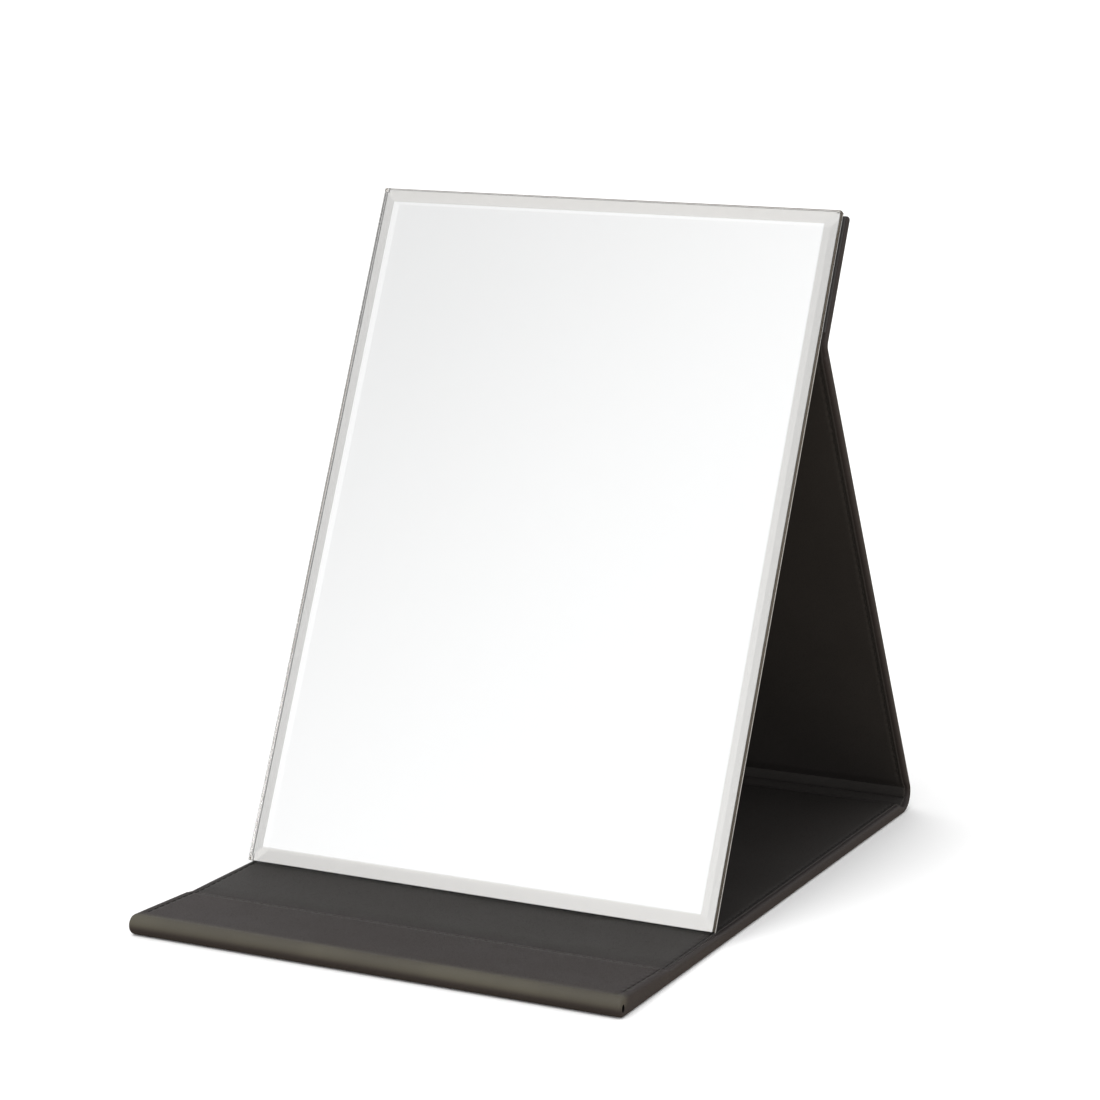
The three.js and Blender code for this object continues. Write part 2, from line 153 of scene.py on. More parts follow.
def smooth_step(value, start, end):
    t = min(max((value - start) / (end - start), 0), 1)
    return t * t * (3 - 2 * t)


def mixed(low, high, share):
    return low + (high - low) * share


def wall_height(along):
    """Depth of the cover's side walls, which is where the lining lies."""
    if along < 0.5 * SPINE_LENGTH:
        return mixed(BASE_WALL, SPINE_WALL, smooth_step(along, -7 * MM, 1 * MM))
    if along < LEG_END - 20 * MM:
        return mixed(SPINE_WALL, LEG_WALL, smooth_step(along, 15 * MM, 21 * MM))
    middle = LEG_END + CREASE_LENGTH / 2
    if along < middle:
        return mixed(LEG_WALL, SPINE_WALL, smooth_step(along, middle - 5 * MM, middle - 1 * MM))
    return mixed(SPINE_WALL, PANEL_WALL, smooth_step(along, middle + 1 * MM, middle + 4 * MM))


def rim_height(across, along):
    """Height of the base's turned edge, whose outer rim rises to meet the pad."""
    if abs(across) < HALF_WIDTH - RIM_WIDTH:
        return wall_height(along)
    rise = RIM_RISE * (1 - smooth_step(along, SEAM, SEAM + 70 * MM))
    return wall_height(along) + rise


def pad_top(along):
    """Height of the rolled leather in front of the seam."""
    start = SEAM - SHOULDER_LENGTH
    if along > start:
        return mixed(PAD_AT_SEAM, PAD_SHOULDER, smooth_step(-along, -SEAM, -start))
    if along > CROWN:
        return mixed(LIP_HEIGHT, PAD_SHOULDER, min((along - CROWN) / (start - CROWN), 1))
    return LIP_HEIGHT


def spine_ridges(along):
    """The lining gathers into two soft ridges inside the fold, with a sharp valley between."""
    if not 0 < along < SPINE_LENGTH:
        return 0.0
    return RIDGE_HEIGHT * math.sqrt(abs(math.sin(2 * math.pi * along / SPINE_LENGTH)))


def groove(distance):
    """Depth of the valley that a row of stitches pulls into the leather."""
    near = max(0.0, 1 - (distance / GROOVE_HALF) ** 2)
    return GROOVE_DEPTH * near * near


def softness(across, along):
    """Slow unevenness of glued leather over its board."""
    return MM * (
        0.02 * math.sin(across * 61 + along * 23 + 0.7)
        + 0.016 * math.sin(along * 87 - across * 34 + 2.1)
        + 0.01 * math.sin(across * 148 + along * 117 + 4.0)
    )


def heading_normal(angle):
    return Vector((0, -math.sin(angle), math.cos(angle)))


def folded(place):
    """Takes a point of the flat pattern to its place in the standing cover."""
    across, along, depth = place
    spot = Vector((across, BASE_BACK, 0))
    heading = 0.0
    stretches = ((SPINE_LENGTH, SPINE_TURN), (LEG_END - SPINE_LENGTH, 0),
                 (CREASE_LENGTH, -CREASE_TURN), (math.inf, 0))
    if along < 0:
        return Vector((across, BASE_BACK + along, depth))
    left = along
    for length, turn in stretches:
        step = min(left, length)
        if turn:
            radius = length / turn
            centre = spot + radius * heading_normal(heading)
            heading += step / radius
            spot = centre - radius * heading_normal(heading)
        else:
            spot = spot + step * Vector((0, math.cos(heading), math.sin(heading)))
        left -= step
        if left <= 0:
            break
    return spot + depth * heading_normal(heading)


# ---- working on a mesh, as by hand ------------------------------------------
def deselect():
    if bpy.context.object and bpy.context.object.mode != "OBJECT":
        bpy.ops.object.mode_set(mode="OBJECT")
    bpy.ops.object.select_all(action="DESELECT")


def only(obj):
    deselect()
    obj.select_set(True)
    bpy.context.view_layer.objects.active = obj


def block(name, low, high):
    """A cube primitive between two corners."""
    deselect()
    low, high = Vector(low), Vector(high)
    bpy.ops.mesh.primitive_cube_add(size=1, location=(low + high) / 2)
    obj = bpy.context.object
    obj.name = obj.data.name = name
    obj.scale = high - low
    bpy.ops.object.transform_apply(location=True, rotation=True, scale=True)
    return obj


def pick(obj, kind, test):
    """In edit mode, selects the faces, edges or verts that pass the test."""
    bpy.ops.mesh.select_mode(type=kind.upper())
    bpy.ops.mesh.select_all(action="DESELECT")
    mesh = bmesh.from_edit_mesh(obj.data)
    found = {"face": mesh.faces, "edge": mesh.edges, "vert": mesh.verts}[kind]
    for item in found:
        if test(item):
            item.select_set(True)
    mesh.select_flush_mode()
    bmesh.update_edit_mesh(obj.data)


def cut(obj, axis, places):
    """Cuts the whole mesh with a plane at each place along an axis."""
    only(obj)
    bpy.ops.object.mode_set(mode="EDIT")
    for place in sorted(places):
        bpy.ops.mesh.select_all(action="SELECT")
        point, normal = Vector(), Vector()
        point[axis], normal[axis] = place, 1
        bpy.ops.mesh.bisect(plane_co=point, plane_no=normal)
    bpy.ops.object.mode_set(mode="OBJECT")


def round_off(obj, test, radius, segments):
    only(obj)
    bpy.ops.object.mode_set(mode="EDIT")
    pick(obj, "edge", test)
    bpy.ops.mesh.bevel(offset=radius, offset_type="OFFSET", segments=segments,
                       affect="EDGES", clamp_overlap=False)
    bpy.ops.object.mode_set(mode="OBJECT")


def remove_faces(obj, test):
    only(obj)
    bpy.ops.object.mode_set(mode="EDIT")
    pick(obj, "face", test)
    bpy.ops.mesh.delete(type="FACE")
    bpy.ops.object.mode_set(mode="OBJECT")


def shape(obj, rule):
    """Moves each point of the mesh by a rule."""
    for vertex in obj.data.vertices:
        vertex.co = rule(vertex.co)
    obj.data.update()


def apply_modifier(obj, kind, **settings):
    only(obj)
    modifier = obj.modifiers.new(kind.title(), kind)
    for name, value in settings.items():
        setattr(modifier, name, value)
    bpy.ops.object.modifier_apply(modifier=modifier.name)


def note_flat_place(obj):
    """Keeps each point's place in the flat pattern, for the leather's grain."""
    places = obj.data.attributes.new("flat_place", "FLOAT_VECTOR", "POINT")
    places.data.foreach_set("vector", [c for v in obj.data.vertices for c in v.co])


def fold_up(obj):
    note_flat_place(obj)
    shape(obj, folded)


def dress(obj, material, replaces=(), angle=35):
    """Shading, finish and the CAD nodes that the piece stands for."""
    only(obj)
    bpy.ops.object.shade_smooth_by_angle(angle=math.radians(angle))
    obj.data.materials.clear()
    obj.data.materials.append(material)
    if replaces:
        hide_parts(*replaces)
    return obj


def spread(low, high, step):
    """Evenly spaced places strictly between two ends, about a step apart."""
    count = max(1, round((high - low) / step))
    return [low + (high - low) * i / count for i in range(1, count)]


# ---- leather pieces of the cover --------------------------------------------
def row_cuts():
    sides = (-1, 1)
    offsets = (-1, -0.5, 0, 0.5, 1)
    return [side * ROW + offset * GROOVE_HALF for side in sides for offset in offsets]


def at(value, place):
    return abs(value - place) < CLOSE


def side_outline(*open_places):
    """A test for the edges round a block's two side faces, apart from its open ends."""
    def test(edge):
        if len(edge.link_faces) != 2:
            return False
        first, last = edge.verts[0].co, edge.verts[1].co
        if any(at(first.y, place) for place in open_places) and at(first.y, last.y):
            return False
        flat_sides = [abs(face.normal.x) > 0.99 for face in edge.link_faces]
        return flat_sides[0] != flat_sides[1]

    return test


def cross_cuts(start, end, step, crease_start, crease_step):
    """Places to cut a stretch across, closer together where the cover bends."""
    bends = spread(-8 * MM, 24 * MM, 0.5 * MM) + spread(crease_start, PANEL_START + 6 * MM, crease_step)
    bends = [place for place in bends if start < place < end]
    flats = [place for place in spread(start, end, step)
             if not any(abs(place - bend) < 3 * MM for bend in bends)]
    return bends + flats


def outer_skin(name, start, end, closed_end=False):
    """A stretch of the outer skin: a sheet whose sides are turned over the boards."""
    obj = block(name, (-HALF_WIDTH, start, 0), (HALF_WIDTH, end, BLANK))
    turned = [end - TURNED_EDGE] if closed_end else []
    cut(obj, 1, cross_cuts(start, end, 11 * MM, LEG_END - 4 * MM, 0.3 * MM) + turned)
    inner = HALF_WIDTH - TURNED_EDGE
    cut(obj, 0, spread(-inner, inner, 16 * MM) + [-inner, inner])

    def set_wall(place):
        high = place.z > BLANK / 2
        wave = 0.5 * softness(place.x, place.y) * smooth_step(place.y, 0, 10 * MM)
        return Vector((place.x, place.y, wall_height(place.y) if high else wave))

    shape(obj, set_wall)
    return obj


def open_top(obj, start, end):
    """Opens the inside between the turned edges, and any end that goes on."""
    inner = HALF_WIDTH - TURNED_EDGE + CLOSE

    def inside(face):
        middle = face.calc_center_median()
        return face.normal.z > 0.5 and abs(middle.x) < inner and start < middle.y < end

    remove_faces(obj, inside)


def open_ends(obj, places):
    def at_end(face):
        middle = face.calc_center_median()
        return abs(face.normal.y) > 0.9 and any(abs(middle.y - p) < 0.05 * MM for p in places)

    remove_faces(obj, at_end)


def make_base_skin(settings):
    obj = block("base_outer_leather", (-HALF_WIDTH, LIP, 0), (HALF_WIDTH, 0, BLANK))
    near_seam = [SEAM - d * MM for d in (0, 0.12, 0.3, 1.3, 1.75, 2.2, 2.65, 3.1, 4.5, 7)]
    cut(obj, 1, near_seam + spread(-8 * MM, 0, 0.8 * MM) + spread(CROWN, SEAM - 7 * MM, 5 * MM)
        + [CROWN] + spread(SEAM, -8 * MM, 12 * MM))
    inner = HALF_WIDTH - TURNED_EDGE
    rims = [side * (HALF_WIDTH - inset) for side in (-1, 1) for inset in (1.75 * MM, 1.9 * MM)]
    cut(obj, 0, row_cuts() + rims + spread(-inner, inner, 12 * MM) + [-inner, inner])

    def surface(place):
        if place.z < BLANK / 2:
            return Vector((place.x, place.y, 0))
        if place.y > SEAM - 0.05 * MM:
            return Vector((place.x, place.y, rim_height(place.x, place.y)))
        sunk = max(groove(abs(place.x) - ROW), groove(place.y - CROSS_ROW))
        sunk = 0 if place.y < CROWN + 2 * MM or abs(place.x) > HALF_WIDTH - 0.1 * MM else sunk
        wave = softness(place.x, place.y) if place.y > CROWN else 0
        return Vector((place.x, place.y, pad_top(place.y) + wave - sunk))

    shape(obj, surface)

    def lip_edge(edge):
        first, last = edge.verts[0].co, edge.verts[1].co
        return at(first.y, LIP) and at(last.y, LIP) and abs(first.z - last.z) < 0.1 * MM

    round_off(obj, lip_edge, LIP_HEIGHT / 2 - 0.05 * MM, 9)
    round_off(obj, side_outline(0), EDGE_RADIUS, 4)
    open_top(obj, SEAM, 0)
    open_ends(obj, [0])
    make_tunnel(obj)
    apply_modifier(obj, "SOLIDIFY", thickness=SKIN, offset=-1)
    fold_up(obj)
    dress(obj, settings["outer"], ["base_outer_skin"])
    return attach(obj, "base")


def make_tunnel(obj):
    """Opens the ends of the lip's roll: its end faces are drawn in to an oval and pushed back."""
    def end_face(face):
        return abs(face.normal.x) > 0.99 and face.calc_center_median().y < CROWN

    def long_edge(edge):
        return edge.calc_length() > 0.9 * MM and any(end_face(face) for face in edge.link_faces)

    def to_oval(point):
        turn = math.atan2(point.z - MOUTH_UP, point.y - MOUTH_ALONG)
        return Vector((point.x, MOUTH_ALONG + MOUTH_HALF_ALONG * math.cos(turn),
                       MOUTH_UP + MOUTH_HALF_UP * math.sin(turn)))

    only(obj)
    bpy.ops.object.mode_set(mode="EDIT")
    pick(obj, "face", end_face)
    bpy.ops.mesh.dissolve_faces()
    bpy.ops.mesh.remove_doubles(threshold=0.3 * MM)
    pick(obj, "edge", long_edge)
    bpy.ops.mesh.subdivide(number_cuts=7)
    pick(obj, "face", end_face)
    bpy.ops.mesh.inset(thickness=0.02 * MM, depth=0, use_individual=True)
    for step in (0, MOUTH_DEPTH):
        if step:
            bpy.ops.mesh.extrude_region()
        mesh = bmesh.from_edit_mesh(obj.data)
        for vertex in mesh.verts:
            if vertex.select:
                vertex.co = to_oval(vertex.co)
                vertex.co.x -= math.copysign(step, vertex.co.x)
        bmesh.update_edit_mesh(obj.data)
    bpy.ops.object.mode_set(mode="OBJECT")


def make_panel_skin(name, start, end, material, replaces, closed_end=False):
    obj = outer_skin(name, start, end, closed_end)
    if closed_end:
        def outline(edge):
            if len(edge.link_faces) != 2 or all(at(v.co.y, start) for v in edge.verts):
                return False
            outward = [abs(f.normal.x) > 0.99 or f.normal.y > 0.99 for f in edge.link_faces]
            corner = all(at(v.co.y, end) and at(abs(v.co.x), HALF_WIDTH) for v in edge.verts)
            return outward[0] != outward[1] or corner

        round_off(obj, outline, EDGE_RADIUS, 4)
        open_top(obj, start, end - TURNED_EDGE)
        open_ends(obj, [start])
    else:
        round_off(obj, side_outline(start, end), EDGE_RADIUS, 4)
        open_top(obj, start, end)
        open_ends(obj, [start, end])
    apply_modifier(obj, "SOLIDIFY", thickness=SKIN, offset=-1, use_even_offset=True)
    fold_up(obj)
    return dress(obj, material, replaces)


def make_lining_piece(name, start, end, material, replaces, free_start=False):
    """A stretch of the lining, with the valleys of its two rows of stitches."""
    half = HALF_WIDTH - LINING_INSET
    obj = block(name, (-half, start, 0), (half, end, BLANK))
    cut(obj, 1, cross_cuts(start, end, 9 * MM, LEG_END - 7 * MM, 0.4 * MM))
    inner = ROW - 2 * GROOVE_HALF
    cut(obj, 0, row_cuts() + spread(-inner, inner, 12 * MM) + [-inner, inner])

    def surface(place):
        rest = wall_height(place.y)
        if place.z < BLANK / 2:
            return Vector((place.x, place.y, rest))
        fullness = LINING_FULLNESS * smooth_step(inner + 2 * MM - abs(place.x), 0, 14 * MM)
        fullness *= smooth_step(-place.y, 6 * MM, 20 * MM) if place.y < 0 else 0
        sunk = groove(abs(place.x) - ROW) * (1 - smooth_step(8 * MM - abs(place.y - 8 * MM), -6 * MM, 0))
        wave = softness(place.x, place.y) + spine_ridges(place.y)
        return Vector((place.x, place.y, rest + LINING + fullness + wave - sunk))

    shape(obj, surface)

    def rim(edge):
        if len(edge.link_faces) != 2:
            return False
        at_side = all(at(abs(v.co.x), half) for v in edge.verts)
        at_start = free_start and all(at(v.co.y, start) for v in edge.verts)
        top = any(face.normal.z > 0.8 for face in edge.link_faces)
        return top and (at_side or at_start)

    round_off(obj, rim, 0.25 * MM, 2)
    fold_up(obj)
    return dress(obj, material, replaces)


def along_line(start, end):
    """The ends of a line, each pulled in a little towards the other."""
    start, end = Vector(start), Vector(end)
    way = (end - start).normalized()
    inset = 1.2 * MM
    return tuple(start + way * inset), tuple(end - way * inset)


def make_cover(settings):
    outer, lining = settings["outer"], settings["lining"]
    make_base_skin(settings)
    obj = make_lining_piece("base_lining_leather", SEAM + 0.03 * MM, 0, lining, ["base_lining"],
                            free_start=True)
    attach(obj, "base")

    # spine: the long bend, from the base up to the split
    obj = make_panel_skin("spine_outer_leather", 0, SPINE_SPLIT, outer, ["spine_outer_skin"])
    start, end = along_line(folded((0, 0, 1.3 * MM)), folded((0, SPINE_SPLIT, 1.3 * MM)))
    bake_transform(obj)
    obj = make_lining_piece("spine_lining_leather", 0, SPINE_SPLIT, lining, ["spine_lining"])
    start, end = along_line(folded((0, 0, 2.9 * MM)), folded((0, SPINE_SPLIT, 2.9 * MM)))
    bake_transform(obj)

    # leg: its lower end holds the short last bend of the spine's arc, as much turn as the stand's fold travels
    obj = make_panel_skin("leg_outer_leather", SPINE_SPLIT, LEG_CUT, outer, ["leg_outer_skin"])
    start, end = folded((0, SPINE_SPLIT, 1.3 * MM)), folded((0, SPINE_LENGTH, 1.3 * MM))
    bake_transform(obj)
    obj = make_lining_piece("leg_lining_leather", SPINE_SPLIT, LEG_CUT, lining, ["leg_lining"])
    start, end = folded((0, SPINE_SPLIT, 3 * MM)), folded((0, SPINE_LENGTH, 3 * MM))
    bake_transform(obj)

    # crease and upper panel
    obj = make_panel_skin("upper_panel_outer_leather", LEG_CUT, PATTERN_END, outer,
                          ["upper_panel_skin", "crease_outer_skin"], closed_end=True)
    start, end = folded((0, LEG_END, 0)), folded((0, PANEL_START, 0))
    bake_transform(obj)
    obj = make_lining_piece("crease_lining_leather", LEG_CUT, PANEL_START + 3 * MM, lining,
                            ["crease_lining"])
    start, end = folded((0, LEG_END, 3 * MM)), folded((0, PANEL_START, 3 * MM))
    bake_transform(obj)


# ---- stitches ---------------------------------------------------------------
def one_stitch(name, sizes):
    """A short length of thread whose ends go down into their holes."""
    deselect()
    length, radius = sizes.stitch_length, sizes.thread / 2
    bpy.ops.mesh.primitive_cylinder_add(vertices=8, radius=radius, depth=length,
                                        rotation=(math.pi / 2, 0, 0))
    obj = bpy.context.object
    obj.name = obj.data.name = name
    bpy.ops.object.transform_apply(location=True, rotation=True, scale=True)
    cut(obj, 1, [length * share for share in (-0.38, -0.22, 0, 0.22, 0.38)])

    def sink(place):
        share = abs(place.y) / (length / 2)
        slim = 1 - 0.35 * share ** 4
        return Vector((place.x * slim, place.y, place.z * slim - 0.55 * radius * share ** 3))

    shape(obj, sink)
    return obj


def stitch_row(name, start, end, sizes, place):
    """A row of stitches from start to end; place puts each point of the row."""
    obj = one_stitch(name, sizes)
    first = (math.ceil(start / sizes.pitch) + 0.5) * sizes.pitch
    count = int((end - first) / sizes.pitch + 0.5)
    apply_modifier(obj, "ARRAY", count=count, use_relative_offset=False,
                   use_constant_offset=True, constant_offset_displace=(0, sizes.pitch, 0))
    shape(obj, lambda p: place(p.x, first + p.y, p.z))
    fold_up(obj)
    return obj


def joined(name, objects):
    only(objects[0])
    for obj in objects[1:]:
        obj.select_set(True)
    bpy.ops.object.join()
    objects[0].name = objects[0].data.name = name
    return objects[0]


def inner_surface(along):
    if along < SEAM - 0.2 * MM:
        return pad_top(along)
    return wall_height(along) + LINING


def make_stitches(settings):
    sizes, thread, pale = settings["sizes"], settings["thread"], settings["pale_thread"]
    sunk, proud = 0.12 * MM, 0.02 * MM
    top = PATTERN_END - ROW_INSET

    def inner_row(side):
        return lambda x, y, z: Vector((side * ROW + x, y, inner_surface(y) - sunk + z))

    def outer_row(side):
        return lambda x, y, z: Vector((side * ROW + x, y, -proud - z))

    def across(x, y, z):
        return Vector((y, CROSS_ROW + x, pad_top(CROSS_ROW) - sunk + z))

    def over(x, y, z):
        return Vector((y, top + x, -proud - z))

    for side, word in ((-1, "left"), (1, "right")):
        obj = stitch_row(f"base_stitches_{word}", *SEWN[0], sizes, inner_row(side))
        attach(dress(obj, thread, [f"base_stitch_{word}"]), "base")
        inside = stitch_row("inside", *SEWN[1], sizes, inner_row(side))
        outside = stitch_row("outside", *SEWN[1], sizes, outer_row(side))
        obj = joined(f"leg_stitches_{word}", [inside, outside])
        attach(dress(obj, thread, [f"leg_stitch_{word}"]), "leg")

    obj = stitch_row("cross_stitches", -ROW + 1.5 * MM, ROW - 1.5 * MM, sizes, across)
    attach(dress(obj, pale, ["cross_stitch"]), "base")

    rows = [stitch_row("up", SEWN[2][0], top, sizes, outer_row(side)) for side in (-1, 1)]
    rows.append(stitch_row("over", -ROW, ROW, sizes, over))
    obj = joined("upper_panel_stitches", rows)
    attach(dress(obj, thread, ["upper_panel_stitch"]), "mirror")


# ---- mirror -----------------------------------------------------------------
def make_glass(settings):
    """The pane: a slab whose face is inset and drawn forward into a bevel."""
    sizes = settings["sizes"]
    obj = block("mirror_glass_pane", (-PANE_HALF, PANE_FRONT + sizes.bevel_depth, PANE_FOOT),
                (PANE_HALF, PANE_BACK, PANE_TOP))
    bpy.ops.object.mode_set(mode="EDIT")
    pick(obj, "face", lambda face: face.normal.y < -0.9)
    bpy.ops.mesh.inset(thickness=sizes.bevel_width, depth=0)
    bpy.ops.transform.translate(value=(0, -sizes.bevel_depth, 0))
    bpy.ops.object.mode_set(mode="OBJECT")

    def arris(edge):
        return any(abs(face.normal.y) < 0.1 for face in edge.link_faces)

    round_off(obj, arris, sizes.arris, 2)
    zone = obj.data.attributes.new("zone", "FLOAT", "FACE")
    for face, mark in zip(obj.data.polygons, zone.data):
        slope = abs(face.normal.y)
        mark.value = 0 if slope > 0.999 else 1 if slope < 0.1 else 0.5
    obj.data.transform(Matrix.Translation(CREASE) @ Matrix.Rotation(-MIRROR_LEAN, 4, "X"))
    dress(obj, settings["glass"], ["mirror_glass"], angle=3)
    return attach(obj, "mirror")


# ---- materials ----------------------------------------------------------------
def new_group(name, inputs, outputs):
    group = bpy.data.node_groups.new(name, "ShaderNodeTree")
    for label, kind, default in inputs:
        socket = group.interface.new_socket(label, in_out="INPUT", socket_type=kind)
        if default is not None:
            socket.default_value = default
    for label, kind in outputs:
        group.interface.new_socket(label, in_out="OUTPUT", socket_type=kind)
    start = group.nodes.new("NodeGroupInput")
    end = group.nodes.new("NodeGroupOutput")
    return group, start.outputs, end.inputs


class Nodes:
    """Short forms for adding and linking nodes in one tree."""

    def __init__(self, tree):
        self.tree = tree

    def add(self, kind, inputs=None, **settings):
        node = self.tree.nodes.new(kind)
        for name, value in settings.items():
            setattr(node, name, value)
        for name, value in (inputs or {}).items():
            if isinstance(value, bpy.types.NodeSocket):
                self.tree.links.new(value, node.inputs[name])
            else:
                node.inputs[name].default_value = value
        return node

    def math(self, operation, *values):
        return self.add("ShaderNodeMath", dict(enumerate(values)), operation=operation).outputs[0]

    def between(self, value, low, high, to_low=0.0, to_high=1.0):
        inputs = {"Value": value, "From Min": low, "From Max": high, "To Min": to_low, "To Max": to_high}
        node = self.add("ShaderNodeMapRange", inputs, interpolation_type="SMOOTHSTEP")
        return node.outputs[0]

    def mix(self, share, first, second):
        node = self.add("ShaderNodeMix", data_type="RGBA")
        for socket, value in ((node.inputs[0], share), (node.inputs[6], first), (node.inputs[7], second)):
            if isinstance(value, bpy.types.NodeSocket):
                self.tree.links.new(value, socket)
            else:
                socket.default_value = value
        return node.outputs[2]

    def group(self, group, **inputs):
        inputs = {name.replace("_", " "): value for name, value in inputs.items()}
        return self.add("ShaderNodeGroup", inputs, node_tree=group).outputs

    def bump(self, height, strength, distance):
        inputs = {"Height": height, "Strength": strength, "Distance": distance}
        return self.add("ShaderNodeBump", inputs).outputs[0]

    def feed(self, shader, **sockets):
        for name, value in sockets.items():
            self.tree.links.new(value, shader.inputs[name.replace("_", " ")])


def toned(colour, share=1.0):
    return tuple(channel * share for channel in colour[:3]) + (1,)


def leather_grain_group():
    """Fine pebbled grain: cell valleys, tiny pores and slow mottling."""
    group, given, result = new_group(
        "leather_grain",
        [("Place", "NodeSocketVector", None), ("Cell Size", "NodeSocketFloat", 0.0007)],
        [("Height", "NodeSocketFloat"), ("Valley", "NodeSocketFloat"), ("Mottle", "NodeSocketFloat")])
    nodes = Nodes(group)
    scale = nodes.math("DIVIDE", 1.0, given["Cell Size"])
    warp = nodes.add("ShaderNodeTexNoise", {"Vector": given["Place"], "Scale": 420.0, "Detail": 2.0})
    offset = nodes.add("ShaderNodeVectorMath", {0: warp.outputs["Color"], 1: (0.0006,) * 3},
                       operation="MULTIPLY").outputs[0]
    place = nodes.add("ShaderNodeVectorMath", {0: given["Place"], 1: offset}, operation="ADD").outputs[0]
    cells = nodes.add("ShaderNodeTexVoronoi", {"Vector": place, "Scale": scale},
                      feature="DISTANCE_TO_EDGE").outputs["Distance"]
    valley = nodes.between(cells, 0.0, 0.16, 1.0, 0.0)
    pores = nodes.add("ShaderNodeTexNoise", {"Vector": place, "Scale": 5200.0, "Detail": 3.0})
    slow = nodes.add("ShaderNodeTexNoise", {"Vector": given["Place"], "Scale": 26.0, "Detail": 4.0,
                                            "Roughness": 0.55})
    fine = nodes.math("MULTIPLY", pores.outputs["Fac"], 0.35)
    height = nodes.math("SUBTRACT", fine, nodes.math("MULTIPLY", valley, 0.65))
    group.links.new(height, result["Height"])
    group.links.new(valley, result["Valley"])
    group.links.new(nodes.between(slow.outputs["Fac"], 0.3, 0.7), result["Mottle"])
    return group


def stitch_pull_group():
    """Where a row of stitches pulls on the leather: its holes and small puckers."""
    group, given, result = new_group(
        "stitch_pull",
        [("Along", "NodeSocketFloat", 0.0), ("From Row", "NodeSocketFloat", 0.0),
         ("Pitch", "NodeSocketFloat", 0.003)],
        [("Hole", "NodeSocketFloat"), ("Pucker", "NodeSocketFloat")])
    nodes = Nodes(group)
    turn = nodes.math("DIVIDE", given["Along"], given["Pitch"])
    phase = nodes.math("SUBTRACT", nodes.math("FRACT", turn), 0.5)
    step = nodes.math("MULTIPLY", nodes.math("ABSOLUTE", phase), given["Pitch"])
    near = nodes.math("SUBTRACT", nodes.math("MULTIPLY", given["Pitch"], 0.5), step)
    aside = nodes.math("ABSOLUTE", given["From Row"])
    distance = nodes.math("SQRT", nodes.math("ADD", nodes.math("MULTIPLY", near, near),
                                             nodes.math("MULTIPLY", aside, aside)))
    group.links.new(nodes.between(distance, 0.0002, 0.0006, 1.0, 0.0), result["Hole"])
    group.links.new(nodes.between(distance, 0.0, 0.0022, 1.0, 0.0), result["Pucker"])
    return group


def new_material(name, **constants):
    material = bpy.data.materials.new(name)
    material.use_nodes = True
    shader = material.node_tree.nodes["Principled BSDF"]
    for label, value in constants.items():
        shader.inputs[label.replace("_", " ")].default_value = value
    return material, Nodes(material.node_tree), shader


